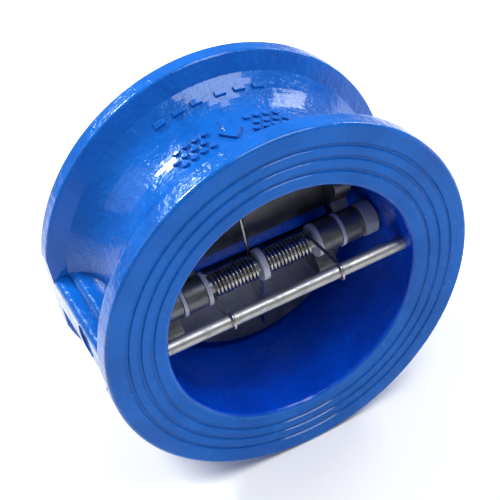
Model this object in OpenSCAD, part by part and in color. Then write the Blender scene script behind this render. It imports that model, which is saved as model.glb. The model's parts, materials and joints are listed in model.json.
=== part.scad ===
// Dual-plate wafer check valve, DN150 (6 in), drawn closed.
// The pins lie along X, water flows towards -Y, +Z is up, and the origin is
// the centre of the inlet face. Each part is drawn in "flow space", where
// z is the depth below the inlet face, and along_flow() turns it into place.

/* [Body] */
// Outside diameter of both rims, a clearance fit inside the flange bolts
rim_d = 218; // [216:0.5:220]
// Face to face length
face_to_face = 98; // [96:0.5:102]
// Thickness of the inlet rim at its edge
inlet_rim_t = 11; // [9:0.5:13]
// Thickness of the outlet rim at its edge
outlet_rim_t = 12.5; // [11:0.5:14]
// Outlet chamber bore
chamber_d = 148; // [147:0.5:150]
// Inlet bore
inlet_d = 132; // [128:1:134]
// Bore of the two ports at the seat
port_d = 117; // [112:1:118]
// Outside diameter of the waist at its narrowest
waist_d = 169; // [166:1:176]
// Width of the bridge that carries the seats across the bore
bridge_w = 22; // [20:1:26]
// Width of the rib that stands up between the plates
rib_w = 10.6; // [8:0.2:11]

/* [Sealing face grooves] */
// Radius of the innermost groove
groove_r = 83.5; // [82:0.5:85]
// Step from one groove to the next
groove_step = 7; // [6:0.5:7.5]
// Width of a groove
groove_w = 2.6; // [1.5:0.1:3]
// Depth of a groove
groove_depth = 0.9; // [0.5:0.1:1.2]

/* [Pins] */
// Depth of the hinge pin below the inlet face
hinge_depth = 55; // [54.5:0.1:56]
// Depth of the stop pin below the inlet face
stop_depth = 86; // [85.5:0.1:87]
// Hinge pin diameter
hinge_pin_d = 10; // [9:0.1:10.5]
// Stop pin diameter
stop_pin_d = 7.6; // [7:0.1:8]
// Radial clearance of a turning fit
running_gap = 0.05; // [0.02:0.01:0.1]

/* [Plates] */
// Depth of the seat plane below the inlet face
seat_depth = 29; // [28.5:0.1:29.5]
// Thickness of a plate
plate_t = 8.7; // [8:0.1:9]
// Largest radius of a plate
plate_r = 67.3; // [66:0.1:67.5]
// Outside diameter of the hinge knuckles
knuckle_d = 19; // [18:0.2:20]
// Largest opening angle of a plate
open_angle = 85; // [80:1:86]

/* [Springs] */
// Spring wire diameter
wire_d = 1.9; // [1.8:0.05:2]
// Mean coil diameter
coil_d = 12.6; // [12.4:0.1:13]
// Whole turns in a spring
coil_turns = 12; // [10:1:12]

/* [Hidden] */
$fn = 96;

paint_blue = [0.05, 0.27, 0.68];
steel_grey = [0.42, 0.42, 0.44];
bright_steel = [0.75, 0.76, 0.78];
white_nylon = [0.86, 0.87, 0.92];
rubber_black = [0.07, 0.07, 0.08];

rim_r = rim_d / 2;
chamber_r = chamber_d / 2;
inlet_r = inlet_d / 2;
port_r = port_d / 2;
waist_r = waist_d / 2;

// Rounding of the rims and of the outlet's mouth
rim_round = 2;
mouth_round = 3;
// Where the back of each rim turns into the waist
root_r = 98.5;
root_drop = 3.5;
waist_start = inlet_rim_t + root_drop;
waist_end = face_to_face - outlet_rim_t - root_drop;
// Depths of the inlet bore, of its taper and of the seat recess
inlet_depth = 12;
taper_depth = 20;
seat_t = 4;
recess_depth = seat_depth - seat_t;
recess_r = 67.5;
ledge_depth = seat_depth - 1;
ledge_round = 4;
// The bridge starts here, and its rib ends here
bridge_depth = 14;
rib_depth = 34.4;

// Pin boss: a broad foot with a narrower flat crest, from rim to rim
boss_foot_w = 34;
boss_foot_r = 97;
boss_crest_w = 25;
boss_crest_r = 106;
boss_edge = 4;

// Stations along the pins, measured out from the centre of the bore
spacer_half = 1.8;
coil_inner = 3.4;
coil_outer = 30.8;
inner_washer = [33.6, 36.2];
inner_knuckle = [36.6, 48.6];
outer_washer = [49.0, 51.2];
outer_knuckle = [51.6, 61.8];
bush_flange = [64.4, 72.2];
bush_end = 82;
pin_end = 89;
washer_d = 19.8;
spacer_d = 18.8;
bush_d = 19.9;
bush_sleeve_d = 14;

// Plugs: [shank radius, head radius, hex radius, depth of the head's recess]
hinge_plug = [8, 9, 5.2, 6];
stop_plug = [5, 6, 3.2, 5];
seal_t = 1.2;
plug_gap = 0.5;
plug_shank = 9;

// Ears that carry the knuckles: foot, rounded nose and rounded far corners
pin_radius = hinge_pin_d / 2;
stop_radius = stop_pin_d / 2;
stop_reach = stop_depth - hinge_depth;
ear_foot = 33;
ear_near = 6.4;
ear_dip = 13;
ear_corner = 4.2;
nose_r = 6;
nose_reach = 26;
// The nose meets the stop pin when the plate is open, less a small gap
stop_gap = 0.3;
nose_depth = hinge_depth + stop_reach * cos(open_angle) - sqrt(
    pow(nose_r + stop_radius + stop_gap, 2) - pow(stop_reach * sin(open_angle) - nose_reach, 2));
plate_gap = 0.25;
plate_edge = rib_w / 2 + 0.7;
plate_top = seat_depth + plate_gap + plate_t;

// Raised marks on the waist
mark_h = 1.6;

// Springs
coil_r = coil_d / 2;
wire_r = wire_d / 2;
wire_sides = 8;
hook_r = stop_radius + wire_r + 0.1;
leg_reach = 60;
leg_lift = 0.3;

// ---------------------------------------------------------------- helpers

// An arc of points about c, from angle a to angle b
function arc(c, r, a, b, n = 6) =
    [for (i = [0:n]) let (t = a + (b - a) * i / n) c + r * [cos(t), sin(t)]];

function unit(v) = v / norm(v);

// Turns flow space into the part's own frame
module along_flow() {
    rotate([90, 0, 0]) children();
}

// Puts a shape on the other side of the bore, half a turn about the flow
module half_turn() {
    rotate([0, 0, 180]) children();
}

// A shape drawn along its own z from station 0, laid along X at a depth
module on_pin(depth, station) {
    translate([station, 0, depth]) rotate([0, 90, 0]) children();
}

// A plain ring on the hinge pin between two stations
module pin_ring(span, d, bore_r) {
    on_pin(hinge_depth, span[0]) difference() {
        cylinder(h = span[1] - span[0], d = d);
        translate([0, 0, -1]) cylinder(h = span[1] - span[0] + 2, r = bore_r);
    }
}

// ------------------------------------------------------------------- body

// Outline of the waist between the rims, as [radius, depth]
function waist(lift = 0, n = 24) =
    let (a = waist_start, b = waist_end)
    [for (i = [0:n]) let (t = i / n)
        [waist_r + lift + (root_r - waist_r) * pow(abs(2 * t - 1), 2.2), a + (b - a) * t]];

// Sides of the grooves in the sealing face, from the bore outwards
function groove_line(z, dir) = [
    for (i = [0:2], k = [[-0.5, 0], [-0.3, 1], [0.3, 1], [0.5, 0]])
        [groove_r + groove_step * i + k[0] * groove_w, z - dir * k[1] * groove_depth]
];

function body_outline() = concat(
    [[inlet_r, inlet_depth], [inlet_r, 0]],
    groove_line(0, -1),
    arc([rim_r - rim_round, rim_round], rim_round, -90, 0),
    arc([rim_r - rim_round, inlet_rim_t - rim_round], rim_round, 0, 80),
    waist(),
    arc([rim_r - rim_round, face_to_face - outlet_rim_t + rim_round], rim_round, -80, 0),
    arc([rim_r - rim_round, face_to_face - rim_round], rim_round, 0, 90),
    [for (i = [11:-1:0]) groove_line(face_to_face, 1)[i]],
    arc([chamber_r + mouth_round, face_to_face - mouth_round], mouth_round, 90, 180),
    arc([chamber_r - ledge_round, ledge_depth + ledge_round], ledge_round, 0, -90),
    [[recess_r, ledge_depth], [recess_r, recess_depth], [port_r, recess_depth],
     [port_r, taper_depth]]
);

// The bridge across the bore: a rounded nose, the two seats' beds and the rib
module bridge() {
    nose = bridge_w / 2 - 4;
    intersection() {
        translate([0, 0, bridge_depth - 1]) cylinder(h = rib_depth, r = chamber_r + 1);
        rotate([90, 0, 90]) translate([0, 0, -chamber_r - 2])
            linear_extrude(height = chamber_d + 4)
            polygon(concat(
                arc([nose, bridge_depth + 4], 4, -90, 0),
                [[bridge_w / 2, recess_depth], [rib_w / 2, recess_depth]],
                arc([rib_w / 2 - 1.2, rib_depth - 1.2], 1.2, 0, 90),
                arc([1.2 - rib_w / 2, rib_depth - 1.2], 1.2, 90, 180),
                [[-rib_w / 2, recess_depth], [-bridge_w / 2, recess_depth]],
                arc([-nose, bridge_depth + 4], 4, 180, 270)
            ));
    }
}

// One bar of a pin boss, with both long edges rounded
module boss_bar(width, top) {
    depth0 = rim_round + 1;
    length = face_to_face - 2 * depth0;
    translate([0, 0, depth0]) {
        translate([chamber_r + 6, -width / 2, 0])
            cube([top - boss_edge - chamber_r - 6, width, length]);
        translate([chamber_r + 6, boss_edge - width / 2, 0])
            cube([top - chamber_r - 6, width - 2 * boss_edge, length]);
        for (side = [-1, 1])
            translate([top - boss_edge, side * (width / 2 - boss_edge), 0])
                cylinder(h = length, r = boss_edge, $fn = 48);
    }
}

module boss() {
    boss_bar(boss_foot_w, boss_foot_r);
    boss_bar(boss_crest_w, boss_crest_r);
}

// Everything that is drilled from outside through one wall at a pin's end
module plug_hole(depth, plug, pin_hole_r) {
    on_pin(depth, chamber_r - 6) cylinder(h = 40, r = pin_hole_r);
    on_pin(depth, pin_end + 1) cylinder(h = 30, r = plug[0] + running_gap);
    on_pin(depth, boss_crest_r - plug[3]) cylinder(h = 20, r = plug[1] + plug_gap);
}

// Raised marks: a flow arrow in a field of staggered dots, and a row of bars
module mark_shapes() {
    polygon([[-2.4, 36], [2.4, 36], [2.4, 45], [6.5, 45], [0, 54], [-6.5, 45], [-2.4, 45]]);
    for (side = [-1, 1]) {
        for (row = [0:2], place = [0:3])
            translate([side * (12.5 + 5.6 * place + 2.8 * (row % 2)), 39.4 + 5.6 * row])
                circle(r = 1.9, $fn = 24);
        for (x = [7, 18, 29])
            translate([side * x, 22]) square([6, 2.4], center = true);
    }
}

module marks() {
    intersection() {
        rotate_extrude() polygon(concat(
            [[waist_r - 3, waist_start]], waist(mark_h), [[waist_r - 3, waist_end]]
        ));
        translate([0, rim_r, 0]) rotate([90, 0, 0])
            linear_extrude(height = rim_r) mark_shapes();
    }
}

// The inlet rim is cut off flush with the crest of each boss
module rim_flat() {
    translate([boss_crest_r, -rim_r, -1])
        cube([rim_r, rim_d, face_to_face - outlet_rim_t]);
}

module body() {
    color(paint_blue) along_flow() difference() {
        union() {
            rotate_extrude() polygon(body_outline());
            bridge();
            boss();
            half_turn() boss();
            marks();
        }
        for (side = [0, 180]) rotate([0, 0, side]) {
            rim_flat();
            plug_hole(hinge_depth, hinge_plug, pin_radius + running_gap);
            plug_hole(stop_depth, stop_plug, stop_radius + running_gap);
            on_pin(hinge_depth, chamber_r - 6)
                cylinder(h = bush_end - chamber_r + 6, r = bush_sleeve_d / 2 + running_gap);
        }
    }
}

// ------------------------------------------------------------------ seats

// One rubber loop: an arc on the body's ledge and a straight run on the bridge
module seat_loop() {
    along_flow() translate([0, 0, recess_depth]) linear_extrude(height = seat_t)
        difference() {
            intersection() {
                circle(r = recess_r);
                translate([-recess_r, rib_w / 2]) square([2 * recess_r, recess_r]);
            }
            intersection() {
                circle(r = port_r);
                translate([-port_r, bridge_w / 2]) square([2 * port_r, port_r]);
            }
        }
}

module seat_upper() {
    color(rubber_black) seat_loop();
}

module seat_lower() {
    color(rubber_black) rotate([0, 180, 0]) seat_loop();
}

// ----------------------------------------------------------------- plates

// Side view of an ear, as [reach from the hinge, depth]
module ear_outline() {
    foot = [ear_near, plate_top - 1];
    reach = norm(foot - [0, hinge_depth]);
    turn = atan2(foot[1] - hinge_depth, foot[0]) - acos(knuckle_d / 2 / reach);
    tangent = [0, hinge_depth] + knuckle_d / 2 * [cos(turn), sin(turn)];
    circle_centre = [0, hinge_depth];
    translate(circle_centre) circle(d = knuckle_d);
    polygon(concat(
        [foot, [ear_foot, plate_top - 1], [ear_foot, plate_top + 1]],
        arc([nose_reach, nose_depth], nose_r, 5, 150, 12),
        [[ear_dip, nose_depth - 2], circle_centre, tangent]
    ));
}

// An ear between two stations: its far corners are rounded, and it is cut off
// where the plate's edge is round
module ear(span) {
    width = span[1] - span[0];
    intersection() {
        translate([span[0], 0, 0]) rotate([90, 0, 90])
            linear_extrude(height = width) ear_outline();
        translate([span[0], 0, seat_depth]) {
            translate([0, -knuckle_d, 0]) cube([width, knuckle_d + ear_foot - ear_corner, 60]);
            translate([ear_corner, -knuckle_d, 0])
                cube([width - 2 * ear_corner, knuckle_d + ear_foot, 60]);
            for (x = [ear_corner, width - ear_corner])
                translate([x, ear_foot - ear_corner, 0]) cylinder(h = 60, r = ear_corner);
        }
        translate([0, 0, seat_depth]) cylinder(h = 60, r = plate_r);
    }
}

// A half disc with a tapered edge, an inner ear on the left and an outer one
// on the right. The lower plate is the same casting, half a turn round.
module plate() {
    bottom = seat_depth + plate_gap;
    along_flow() difference() {
        union() {
            intersection() {
                rotate_extrude() polygon([
                    [0, bottom], [plate_r - 2.7, bottom], [plate_r - 0.6, bottom + 4],
                    [plate_r, bottom + 6], [plate_r, plate_top - 1.2],
                    [plate_r - 1.2, plate_top], [0, plate_top]
                ]);
                translate([-rim_r, plate_edge, 0]) cube([rim_d, rim_r, face_to_face]);
            }
            ear([-inner_knuckle[1], -inner_knuckle[0]]);
            ear(outer_knuckle);
        }
        on_pin(hinge_depth, -rim_r) cylinder(h = rim_d, r = pin_radius + running_gap);
    }
}

module plate_upper() {
    color(steel_grey) plate();
}

module plate_lower() {
    color(steel_grey) rotate([0, 180, 0]) plate();
}

// ------------------------------------------------------- pins and fittings

// A round pin with small chamfers at both ends
module plain_pin(depth, r) {
    chamfer = 0.8;
    along_flow() on_pin(depth, 0) rotate_extrude() polygon([
        [0, -pin_end], [r - chamfer, -pin_end], [r, chamfer - pin_end],
        [r, pin_end - chamfer], [r - chamfer, pin_end], [0, pin_end]
    ]);
}

module hinge_pin() {
    color(bright_steel) plain_pin(hinge_depth, pin_radius);
}

module stop_pin() {
    color(bright_steel) plain_pin(stop_depth, stop_radius);
}

module washer(span) {
    color(white_nylon) along_flow()
        pin_ring(span, washer_d, pin_radius + running_gap);
}

module centre_spacer() {
    color(white_nylon) along_flow()
        pin_ring([-spacer_half, spacer_half], spacer_d, pin_radius + running_gap);
}

// A flanged bush: its sleeve is pressed into the wall of the body
module bush() {
    color(white_nylon) along_flow() difference() {
        union() {
            pin_ring(bush_flange, bush_d, pin_radius + running_gap);
            pin_ring([bush_flange[1] - 1, bush_end], bush_sleeve_d, pin_radius + running_gap);
        }
        on_pin(hinge_depth, bush_flange[0] - 1)
            cylinder(h = bush_end, r = pin_radius + running_gap);
    }
}

// A plug with a flat head and a hexagon socket, and the seal under its head
module plug(depth, p) {
    head_t = p[3] - seal_t - 1;
    base = boss_crest_r - p[3] + seal_t;
    color(bright_steel) along_flow() on_pin(depth, base - seal_t - plug_shank)
        difference() {
            union() {
                cylinder(h = plug_shank + seal_t, r = p[0]);
                translate([0, 0, plug_shank + seal_t]) cylinder(h = head_t, r = p[1]);
            }
            translate([0, 0, plug_shank - 1]) cylinder(h = 20, r = p[2], $fn = 6);
        }
}

module plug_seal(depth, p) {
    color(rubber_black) along_flow() on_pin(depth, boss_crest_r - p[3]) difference() {
        cylinder(h = seal_t, r = p[1]);
        translate([0, 0, -1]) cylinder(h = seal_t + 2, r = p[0] + running_gap);
    }
}

// ---------------------------------------------------------------- springs

// Points of the left spring, as [station, side, depth], from the tip of the
// hook on the stop pin, round the coil, to the tip of the leg on the plate
function spring_path() =
    let (
        slope = asin((coil_r - hook_r) / stop_reach),
        leg_tip = [leg_reach, plate_top + wire_r + leg_lift - hinge_depth],
        lean = atan2(-leg_tip[1], leg_tip[0]),
        exit = lean + acos(coil_r / norm(leg_tip)),
        sweep = coil_turns * 360 + 180 + slope - exit,
        steps = coil_turns * 16,
        hook_x = -coil_outer - 2.6,
        inner_x = -coil_inner + 0.5,
        leg_start = [inner_x, coil_r * cos(exit), hinge_depth - coil_r * sin(exit)],
        leg_end = [inner_x, leg_tip[0], hinge_depth + leg_tip[1]]
    )
    concat(
        [for (t = [-15:19.5:180]) [hook_x, hook_r * cos(t), stop_depth + hook_r * sin(t)]],
        [for (i = [0:steps]) let (f = i / steps, t = 180 + slope - sweep * f)
            [-coil_outer + (coil_outer - coil_inner) * f,
             coil_r * cos(t), hinge_depth - coil_r * sin(t)]],
        [for (f = [0.1, 0.5, 1]) leg_start + (leg_end - leg_start) * f]
    );

// Side directions of a swept wire, carried along from ring to ring
function carry(path, i, side) =
    let (t = unit(path[min(i + 1, len(path) - 1)] - path[max(i - 1, 0)]))
    unit(side - t * (side * t));

function ring(path, i, side) =
    let (
        t = unit(path[min(i + 1, len(path) - 1)] - path[max(i - 1, 0)]),
        up = cross(t, side)
    )
    [for (k = [0:wire_sides - 1]) let (a = 360 * k / wire_sides)
        path[i] + wire_r * (side * cos(a) + up * sin(a))];

module wire(path) {
    n = len(path);
    w = wire_sides;
    sides = [for (i = 0, s = carry(path, 0, [1, 0, 0]); i < n;
        i = i + 1, s = carry(path, min(i, n - 1), s)) s];
    points = [for (i = [0:n - 1], p = ring(path, i, sides[i])) p];
    faces = concat(
        [[for (k = [0:w - 1]) k]],
        [for (i = [0:n - 2], k = [0:w - 1])
            [i * w + k, (i + 1) * w + k, (i + 1) * w + (k + 1) % w, i * w + (k + 1) % w]],
        [[for (k = [w - 1:-1:0]) (n - 1) * w + k]]
    );
    polyhedron(points = points, faces = faces, convexity = 10);
}

module spring_left() {
    color(bright_steel) along_flow() wire(spring_path());
}

module spring_right() {
    color(bright_steel) rotate([0, 180, 0]) along_flow() wire(spring_path());
}

// --------------------------------------------------------------- the nodes

body();
seat_upper();
seat_lower();
plate_upper();
plate_lower();
hinge_pin();
stop_pin();
spring_left();
spring_right();
centre_spacer();
washer(-[inner_washer[1], inner_washer[0]]);  // inner_washer_left
washer(inner_washer);  // inner_washer_right
washer(-[outer_washer[1], outer_washer[0]]);  // outer_washer_left
washer(outer_washer);  // outer_washer_right
rotate([0, 180, 0]) bush();  // bush_left
bush();  // bush_right
rotate([0, 180, 0]) plug(hinge_depth, hinge_plug);  // hinge_plug_left
plug(hinge_depth, hinge_plug);  // hinge_plug_right
rotate([0, 180, 0]) plug(stop_depth, stop_plug);  // stop_plug_left
plug(stop_depth, stop_plug);  // stop_plug_right
rotate([0, 180, 0]) plug_seal(hinge_depth, hinge_plug);  // hinge_seal_left
plug_seal(hinge_depth, hinge_plug);  // hinge_seal_right
rotate([0, 180, 0]) plug_seal(stop_depth, stop_plug);  // stop_seal_left
plug_seal(stop_depth, stop_plug);  // stop_seal_right
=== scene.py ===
"""Looks for the dual-plate wafer check valve: paint, metals, plastics, springs and studio."""

import json
import math

import bpy
from mathutils import Matrix, Vector


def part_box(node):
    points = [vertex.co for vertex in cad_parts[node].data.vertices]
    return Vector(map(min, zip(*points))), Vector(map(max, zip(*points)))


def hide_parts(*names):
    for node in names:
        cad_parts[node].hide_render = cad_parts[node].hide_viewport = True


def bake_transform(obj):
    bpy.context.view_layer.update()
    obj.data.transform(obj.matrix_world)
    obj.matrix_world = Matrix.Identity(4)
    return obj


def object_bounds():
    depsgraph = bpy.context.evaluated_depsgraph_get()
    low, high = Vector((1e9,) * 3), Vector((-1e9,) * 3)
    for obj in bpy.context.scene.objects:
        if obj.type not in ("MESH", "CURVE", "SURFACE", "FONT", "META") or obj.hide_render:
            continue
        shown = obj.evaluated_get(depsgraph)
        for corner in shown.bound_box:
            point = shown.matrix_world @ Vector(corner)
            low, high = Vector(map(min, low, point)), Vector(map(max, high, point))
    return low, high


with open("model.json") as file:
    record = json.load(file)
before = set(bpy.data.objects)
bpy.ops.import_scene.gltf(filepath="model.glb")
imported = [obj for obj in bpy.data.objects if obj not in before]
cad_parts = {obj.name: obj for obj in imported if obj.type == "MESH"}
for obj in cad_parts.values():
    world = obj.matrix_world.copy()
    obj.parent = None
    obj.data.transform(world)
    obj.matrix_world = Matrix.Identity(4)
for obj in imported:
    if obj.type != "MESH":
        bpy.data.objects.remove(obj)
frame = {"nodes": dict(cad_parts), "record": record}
cad_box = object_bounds()
MM = 0.001
CENTRE = (cad_box[0] + cad_box[1]) / 2
GROUND = cad_box[0].z
# Radius of the outlet chamber, and the outlet side of the seats at its floor, which bound the
# chamber's painted shade
CHAMBER_R = 74 * MM
SEAT_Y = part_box("seat_upper")[0].y
# Rays that each bevel and each shade node casts
CORNER_SAMPLES = 4


# ------------------------------------------------------------------ materials

class Look:
    """A Principled material whose node tree is written as short calls."""

    def __init__(self, name, **sockets):
        self.material = bpy.data.materials.new(name)
        self.material.use_nodes = True
        self.tree = self.material.node_tree
        self.tree.nodes.clear()
        self.shader = self.node("ShaderNodeBsdfPrincipled")
        output = self.node("ShaderNodeOutputMaterial")
        self.join(self.shader.outputs["BSDF"], output.inputs["Surface"])
        self.coords = self.node("ShaderNodeTexCoord").outputs["Object"]
        self.set(**sockets)

    def node(self, kind, **props):
        made = self.tree.nodes.new(kind)
        for key, value in props.items():
            setattr(made, key, value)
        return made

    def join(self, source, target):
        self.tree.links.new(source, target)

    def feed(self, socket, value):
        """Gives a socket a number, a colour or another node's output."""
        if isinstance(value, bpy.types.NodeSocket):
            self.join(value, socket)
        else:
            socket.default_value = value

    def set(self, **sockets):
        for key, value in sockets.items():
            socket = self.shader.inputs[key.replace("_", " ")]
            if socket.type == "RGBA" and isinstance(value, tuple):
                value = (*value, 1.0)
            self.feed(socket, value)

    def math(self, operation, a, b=0.0):
        made = self.node("ShaderNodeMath", operation=operation)
        for socket, value in zip(made.inputs, (a, b)):
            self.feed(socket, value)
        return made.outputs[0]

    def plus(self, a, b):
        return self.math("ADD", a, b)

    def times(self, a, b):
        return self.math("MULTIPLY", a, b)

    def stretched(self, scale):
        """The object's own coordinates, scaled along each axis."""
        made = self.node("ShaderNodeVectorMath", operation="MULTIPLY")
        self.feed(made.inputs[0], self.coords)
        made.inputs[1].default_value = scale
        return made.outputs[0]

    def noise(self, size, detail=2.0, rough=0.5, warp=0.0, along=None):
        """Smooth noise with features about size metres across."""
        made = self.node("ShaderNodeTexNoise")
        self.feed(made.inputs["Vector"], self.stretched(along) if along else self.coords)
        made.inputs["Scale"].default_value = 1 / size
        made.inputs["Detail"].default_value = detail
        made.inputs["Roughness"].default_value = rough
        made.inputs["Distortion"].default_value = warp
        return made.outputs["Fac"]

    def band(self, value, low, high, to_low=0.0, to_high=1.0):
        """Maps low..high onto to_low..to_high with a smooth step."""
        made = self.node("ShaderNodeMapRange", interpolation_type="SMOOTHSTEP")
        for socket, number in zip(made.inputs, (value, low, high, to_low, to_high)):
            self.feed(socket, number)
        return made.outputs[0]

    def blend(self, amount, a, b):
        made = self.node("ShaderNodeMix", data_type="RGBA")
        self.feed(made.inputs[0], amount)
        for socket, colour in ((made.inputs[6], a), (made.inputs[7], b)):
            self.feed(socket, (*colour, 1.0) if isinstance(colour, tuple) else colour)
        return made.outputs[2]

    def bump(self, height, depth, under=None):
        """Bump from a height map, where a height of 1 stands for depth metres."""
        made = self.node("ShaderNodeBump")
        made.inputs["Strength"].default_value = 1.0
        made.inputs["Distance"].default_value = depth
        self.feed(made.inputs["Height"], height)
        if under is not None:
            self.feed(made.inputs["Normal"], under)
        return made.outputs["Normal"]

    def split(self, vector):
        """The x, y and z of a vector."""
        made = self.node("ShaderNodeSeparateXYZ")
        self.feed(made.inputs[0], vector)
        return made.outputs

    def normal(self):
        return self.node("ShaderNodeNewGeometry").outputs["Normal"]

    def rounded(self, radius):
        """The normal, with sharp edges rounded off."""
        made = self.node("ShaderNodeBevel", samples=CORNER_SAMPLES)
        made.inputs["Radius"].default_value = radius
        return made.outputs[0]

    def edges(self, rounded):
        """0 on flat ground to 1 on sharp edges, from the rounded normal."""
        made = self.node("ShaderNodeVectorMath", operation="DOT_PRODUCT")
        self.join(rounded, made.inputs[0])
        self.join(self.normal(), made.inputs[1])
        return self.band(made.outputs["Value"], 0.995, 0.80)

    def shade(self, distance):
        """1 in the open to 0 in deep corners."""
        made = self.node("ShaderNodeAmbientOcclusion", samples=CORNER_SAMPLES)
        made.inputs["Distance"].default_value = distance
        return made.outputs["AO"]


def enamel(name):
    """Thick gloss enamel over a sand casting, with smooth machined faces."""
    look = Look(name, Metallic=0.0, IOR=1.5, Specular_IOR_Level=0.18,
                Specular_Tint=(0.5, 0.85, 1.0), Coat_Roughness=0.07, Coat_IOR=1.5)
    x, y, z = look.split(look.coords)
    along_flow = look.math("ABSOLUTE", look.split(look.normal())[1])
    cast = look.math("SUBTRACT", 1.0, look.band(along_flow, 0.97, 0.999))
    soft = look.rounded(0.7 * MM)
    edge = look.edges(soft)

    lumps = look.noise(9 * MM, detail=3, rough=0.55)
    peel = look.noise(2.4 * MM, detail=2)
    fine = look.noise(0.7 * MM, detail=1)
    runs = look.noise(5 * MM, detail=2, along=(1, 0.35, 1))
    sand = look.noise(3.6 * MM, detail=2, rough=0.6)
    coarse = look.plus(lumps, look.plus(look.times(runs, 0.5), look.times(sand, 0.5)))
    skin = look.plus(look.times(peel, look.plus(cast, 0.25)), look.times(fine, 0.12))
    normal = look.bump(look.times(coarse, cast), 0.95 * MM, soft)
    normal = look.bump(skin, 0.15 * MM, normal)

    tone = look.band(look.noise(30 * MM, detail=4, rough=0.6), 0.3, 0.7)
    outside = look.blend(tone, (0.0015, 0.084, 0.40), (0.004, 0.114, 0.50))
    # Painted shade: within the outlet chamber the paint is a darker, deeper blue than elsewhere
    chamber_shade_colour = look.blend(tone, (0.0006, 0.042, 0.46), (0.0010, 0.060, 0.58))
    radius = look.math("SQRT", look.plus(look.times(x, x), look.times(z, z)))
    chamber = look.times(look.band(radius, CHAMBER_R + 1.5 * MM, CHAMBER_R),
                         look.band(y, SEAT_Y + 4 * MM, SEAT_Y))
    colour = look.blend(chamber, outside, chamber_shade_colour)

    # Painted highlight: sharp edges are painted a lighter blue, broken up by the peel noise
    edge_highlight = look.times(edge, look.band(peel, 0.35, 0.65))
    colour = look.blend(look.times(edge_highlight, 0.35), colour, (0.03, 0.22, 0.72))
    # Painted shade: the paint is darkened towards a deep blue in recesses found by the occlusion
    # node, in noisy patches
    recess_shade = look.times(look.band(look.shade(5 * MM), 0.75, 0.35),
                      look.band(look.noise(3 * MM, detail=3), 0.35, 0.7))
    colour = look.blend(look.times(recess_shade, 0.5), colour, (0.004, 0.03, 0.14))
    spots = look.band(look.noise(1.6 * MM, detail=3, rough=0.7), 0.665, 0.68)
    patch = look.band(look.noise(45 * MM, detail=1), 0.5, 0.62)
    chip = look.times(look.times(look.band(edge, 0.35, 0.8), spots), patch)
    colour = look.blend(chip, colour, (0.10, 0.095, 0.09))

    gloss = look.band(look.noise(14 * MM, detail=3), 0.3, 0.7, 0.16, 0.30)
    look.set(Base_Color=colour, Normal=normal,
             Roughness=look.plus(gloss, look.times(chip, 0.4)),
             Coat_Weight=look.plus(look.times(cast, 0.32), 0.08))
    return look.material


def casting(name):
    """Plate steel: a fine blasted casting, a little stained."""
    look = Look(name, Metallic=0.92, IOR=2.0)
    soft = look.rounded(0.5 * MM)
    grain = look.noise(0.9 * MM, detail=3, rough=0.6)
    pits = look.noise(3.5 * MM, detail=2)
    normal = look.bump(grain, 0.10 * MM, soft)
    normal = look.bump(pits, 0.16 * MM, normal)
    stain = look.noise(22 * MM, detail=5, rough=0.62, warp=0.6)
    colour = look.blend(look.band(stain, 0.35, 0.7), (0.12, 0.125, 0.135), (0.21, 0.21, 0.215))
    rust = look.times(look.band(look.noise(6 * MM, detail=4, rough=0.7), 0.55, 0.75),
                      look.band(stain, 0.6, 0.4))
    colour = look.blend(look.times(rust, 0.35), colour, (0.16, 0.10, 0.065))
    colour = look.blend(look.times(look.edges(soft), 0.5), colour, (0.40, 0.40, 0.40))
    look.set(Base_Color=colour, Normal=normal,
             Roughness=look.band(grain, 0.2, 0.8, 0.34, 0.52))
    return look.material


def ground_pin(name):
    """Ground bar: fine rings round the pin, light scuffs along it."""
    look = Look(name, Metallic=1.0, Anisotropic=0.35)
    rings = look.noise(1 * MM, detail=3, rough=0.7, along=(4, 0.25, 0.25))
    scuffs = look.noise(2 * MM, detail=4, rough=0.7, warp=0.5, along=(0.3, 1, 1))
    normal = look.bump(rings, 0.02 * MM, look.rounded(0.25 * MM))
    colour = look.blend(look.band(scuffs, 0.45, 0.7), (0.44, 0.44, 0.445), (0.29, 0.29, 0.295))
    look.set(Base_Color=colour, Normal=normal,
             Roughness=look.band(scuffs, 0.35, 0.75, 0.44, 0.58))
    return look.material


def spring_wire(name):
    """Bright drawn wire with fine marks and a trace of oil tint."""
    look = Look(name, Metallic=1.0)
    marks = look.noise(0.5 * MM, detail=3, rough=0.65)
    tint = look.noise(7 * MM, detail=3)
    normal = look.bump(marks, 0.02 * MM)
    colour = look.blend(look.band(tint, 0.4, 0.7), (0.44, 0.43, 0.41), (0.30, 0.28, 0.25))
    look.set(Base_Color=colour, Normal=normal,
             Roughness=look.band(marks, 0.3, 0.7, 0.22, 0.34))
    return look.material


def plastic(name, light, grime_and_shade_colour, rough):
    """Turned plastic: faint tool rings round the pin, handling dirt, and painted shade in its
    corners.
    """
    look = Look(name, Metallic=0.0, IOR=1.5, Subsurface_Weight=0.12,
                Subsurface_Radius=(0.6, 0.6, 0.7), Subsurface_Scale=1.2 * MM)
    rings = look.noise(0.6 * MM, detail=2, along=(2.5, 0.2, 0.2))
    grime = look.noise(4 * MM, detail=4, rough=0.65)
    normal = look.bump(rings, 0.03 * MM, look.rounded(0.3 * MM))
    # Handling dirt in noisy patches, made stronger in corners found by the occlusion node as
    # painted shade
    grime_and_shade = look.times(look.band(grime, 0.45, 0.75),
                      look.band(look.shade(3 * MM), 0.95, 0.45, 0.3, 1.0))
    look.set(Base_Color=look.blend(grime_and_shade, light, grime_and_shade_colour), Normal=normal,
             Roughness=look.band(grime, 0.3, 0.7, rough, rough + 0.15))
    return look.material


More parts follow.
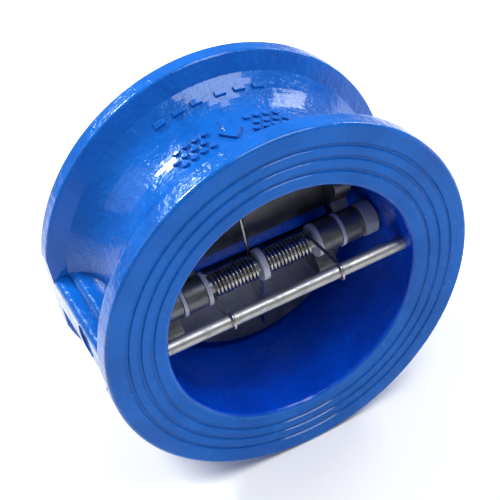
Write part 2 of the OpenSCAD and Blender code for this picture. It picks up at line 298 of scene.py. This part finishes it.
def rubber(name):
    """Moulded black rubber with a dusty bloom."""
    look = Look(name, Metallic=0.0, Specular_IOR_Level=0.35)
    skin = look.noise(0.5 * MM, detail=3, rough=0.6)
    bloom = look.noise(8 * MM, detail=4)
    colour = look.blend(look.band(bloom, 0.4, 0.75), (0.016, 0.016, 0.017), (0.055, 0.055, 0.058))
    look.set(Base_Color=colour, Normal=look.bump(skin, 0.03 * MM, look.rounded(0.3 * MM)),
             Roughness=look.band(bloom, 0.3, 0.7, 0.55, 0.75))
    return look.material


LOOKS = {
    "blue_enamel": enamel("gloss_enamel"),
    "painted_plug": enamel("plug_enamel"),
    "cast_steel": casting("blasted_casting"),
    "bright_steel": ground_pin("ground_bar"),
    "spring_steel": spring_wire("drawn_wire"),
    "white_nylon": plastic("white_plastic", (0.52, 0.54, 0.62), (0.26, 0.27, 0.31), 0.34),
    "grey_ptfe": plastic("grey_plastic", (0.36, 0.39, 0.45), (0.18, 0.20, 0.23), 0.38),
    "seat_rubber": rubber("black_rubber"),
}
for part in frame["record"]["subparts"]:
    mesh = frame["nodes"][part["node"]].data
    mesh.materials.clear()
    mesh.materials.append(LOOKS[part["material_slot"]])


# -------------------------------------------------------------------- springs

# Sizes of the left spring, the same as in the CAD model
WIRE_R = 0.95 * MM
COIL_R = 6.3 * MM
COIL_TURNS = 12
COIL_STARTS = -30.8 * MM
COIL_ENDS = -3.4 * MM
HOOK_X = COIL_STARTS - 2.6 * MM
LEG_X = COIL_ENDS + 0.5 * MM
LEG_REACH = 60 * MM
LEG_LIFT = 0.3 * MM
# From the outlet side of the seats to that of the plates
PLATE_RISE = 8.95 * MM
# Gap between the wire and the stop pin inside the hook
HOOK_GAP = 0.1 * MM
# The hook's arc, in degrees round the stop pin
HOOK_STARTS = -15
HOOK_ENDS = 180
# How finely the smooth wire is made
HOOK_STEPS = 24
COIL_STEPS = 64 * COIL_TURNS
WIRE_SIDES = 16
RING_STEP = 0.26 * MM
# Rings on each side of a corner that its bend is spread over
BEND = 5
# Least size of an end ring, as a share of the wire's, squared
TIP = 0.02


def pin_line(node):
    """(y, radius) of a pin that lies along X at z = 0."""
    low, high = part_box(node)
    return (low.y + high.y) / 2, (high.z - low.z) / 2


def spring_line():
    """Centre line of the left spring: hook on the stop pin, coil, leg on the plate."""
    hinge_y = pin_line("hinge_pin")[0]
    stop_y, stop_r = pin_line("stop_pin")
    plate_y = SEAT_Y - PLATE_RISE
    hook_r = stop_r + WIRE_R + HOOK_GAP
    # Turn of the arm from hook to coil, and the angle where the leg leaves the coil
    slope = math.asin((COIL_R - hook_r) / (hinge_y - stop_y))
    drop = hinge_y - (plate_y - WIRE_R - LEG_LIFT)
    lean = math.atan2(-drop, LEG_REACH)
    leaves = lean + math.acos(COIL_R / math.hypot(LEG_REACH, drop))
    sweep = COIL_TURNS * math.tau + math.pi + slope - leaves

    line = []
    for i in range(HOOK_STEPS + 1):
        t = math.radians(HOOK_STARTS + (HOOK_ENDS - HOOK_STARTS) * i / HOOK_STEPS)
        line.append(Vector((HOOK_X, stop_y - hook_r * math.sin(t), hook_r * math.cos(t))))
    for i in range(COIL_STEPS + 1):
        t = math.pi + slope - sweep * i / COIL_STEPS
        x = COIL_STARTS + (COIL_ENDS - COIL_STARTS) * i / COIL_STEPS
        line.append(Vector((x, hinge_y + COIL_R * math.sin(t), COIL_R * math.cos(t))))
    line[-1].x = LEG_X
    line.append(Vector((LEG_X, hinge_y - drop, LEG_REACH)))
    return line


def even_steps(line, step):
    """The same line in equal steps, with its corners bent round."""
    points, left = [line[0]], step
    for a, b in zip(line, line[1:]):
        length = (b - a).length
        while left < length:
            points.append(a.lerp(b, left / length))
            left += step
        left -= length
    last = len(points) - 1
    bent = []
    for i in range(len(points)):
        reach = min(BEND, i, last - i)
        near = points[i - reach:i + reach + 1]
        bent.append(sum(near, Vector()) / len(near))
    return bent


def wire(name, line, radius):
    """A round wire swept along a line, with domed ends."""
    verts, faces = [], []
    last = len(line) - 1
    side = Vector((1, 0, 0))
    for i, point in enumerate(line):
        along = (line[min(i + 1, last)] - line[max(i - 1, 0)]).normalized()
        side = (side - along * side.dot(along)).normalized()
        up = along.cross(side)
        to_end = min(i, last - i) * RING_STEP
        size = radius * math.sqrt(max(TIP, 1 - max(0.0, 1 - to_end / radius) ** 2))
        for k in range(WIRE_SIDES):
            t = math.tau * k / WIRE_SIDES
            verts.append(point + size * (side * math.cos(t) + up * math.sin(t)))
    for i in range(last):
        a, b = i * WIRE_SIDES, (i + 1) * WIRE_SIDES
        for k in range(WIRE_SIDES):
            n = (k + 1) % WIRE_SIDES
            faces.append((a + k, a + n, b + n, b + k))
    faces.append(tuple(range(WIRE_SIDES))[::-1])
    faces.append(tuple(range(len(verts) - WIRE_SIDES, len(verts))))
    mesh = bpy.data.meshes.new(name)
    mesh.from_pydata([tuple(v) for v in verts], [], faces)
    mesh.shade_smooth()
    mesh.materials.append(LOOKS["spring_steel"])
    made = bpy.data.objects.new(name, mesh)
    bpy.context.scene.collection.objects.link(made)
    return made


left_line = even_steps(spring_line(), RING_STEP)
for node, plate, side in (("spring_left", "upper_plate", 1), ("spring_right", "lower_plate", -1)):
    line = [Vector((side * p.x, p.y, side * p.z)) for p in left_line]
    spring = wire(node + "_wire", line, WIRE_R)
    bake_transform(spring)
    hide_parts(node)


# ---------------------------------------------------------------------- studio

def soft_box(name, azimuth, elevation, distance, size, watts, colour=(1, 1, 1)):
    """A rectangular light that faces the object, with its angles in degrees."""
    data = bpy.data.lights.new(name, "AREA")
    data.shape = "RECTANGLE"
    data.size, data.size_y = size
    data.energy = watts
    data.color = colour
    made = bpy.data.objects.new(name, data)
    bpy.context.scene.collection.objects.link(made)
    a, e = math.radians(azimuth), math.radians(elevation)
    away = Vector((math.sin(a) * math.cos(e), -math.cos(a) * math.cos(e), math.sin(e)))
    made.location = CENTRE + away * distance
    made.rotation_mode = "QUATERNION"
    made.rotation_quaternion = (-away).to_track_quat("-Z", "Y")


FLOOR_SIZE = 40
bpy.ops.mesh.primitive_plane_add(size=FLOOR_SIZE, location=(CENTRE.x, CENTRE.y, GROUND))
floor = bpy.context.object
floor.name = "studio_floor"
paper = Look("pale_paper", Roughness=0.9, Specular_IOR_Level=0.1)
mottle = paper.noise(60 * MM, detail=2)
paper.set(Base_Color=paper.blend(mottle, (0.90, 0.90, 0.90), (0.92, 0.92, 0.92)))
floor.data.materials.append(paper.material)

world = bpy.data.worlds.new("studio")
bpy.context.scene.world = world
world.use_nodes = True
sky = world.node_tree.nodes["Background"].inputs
sky["Color"].default_value = (0.93, 0.96, 1.0, 1)
sky["Strength"].default_value = 0.28

soft_box("soft_top", 50, 62, 1.5, (1.0, 0.7), 20)
soft_box("window_back", -148, 47, 1.5, (0.36, 0.30), 25, (1.0, 0.99, 0.97))
soft_box("window_side", 108, 26, 1.4, (0.5, 0.5), 7)
soft_box("fill_back", -112, 35, 1.6, (1.2, 0.9), 4, (0.97, 0.98, 1.0))

bpy.context.scene.view_settings.view_transform = "Standard"

# The camera stands left of the outlet and above it, looks down, and leans.
# Its lens is shifted, because the object stands above and left of its axis.
CAMERA_AT = Vector((-0.1749, -0.5036, 0.4186))
CAMERA_RIGHT = Vector((0.8785, -0.4605, -0.1275))
CAMERA_VIEW = Vector((0.2575, 0.6811, -0.6854))
camera_data = bpy.data.cameras.new("camera")
camera_data.lens = 82.01
camera_data.shift_x = -0.018
camera_data.shift_y = 0.12
camera_data.sensor_width = 36
camera = bpy.data.objects.new("camera", camera_data)
bpy.context.scene.collection.objects.link(camera)
right = CAMERA_RIGHT.normalized()
back = -CAMERA_VIEW.normalized()
up = back.cross(right).normalized()
right = up.cross(back)
camera.matrix_world = Matrix((
    (right.x, up.x, back.x, CAMERA_AT.x),
    (right.y, up.y, back.y, CAMERA_AT.y),
    (right.z, up.z, back.z, CAMERA_AT.z),
    (0, 0, 0, 1)))
bpy.context.scene.camera = camera
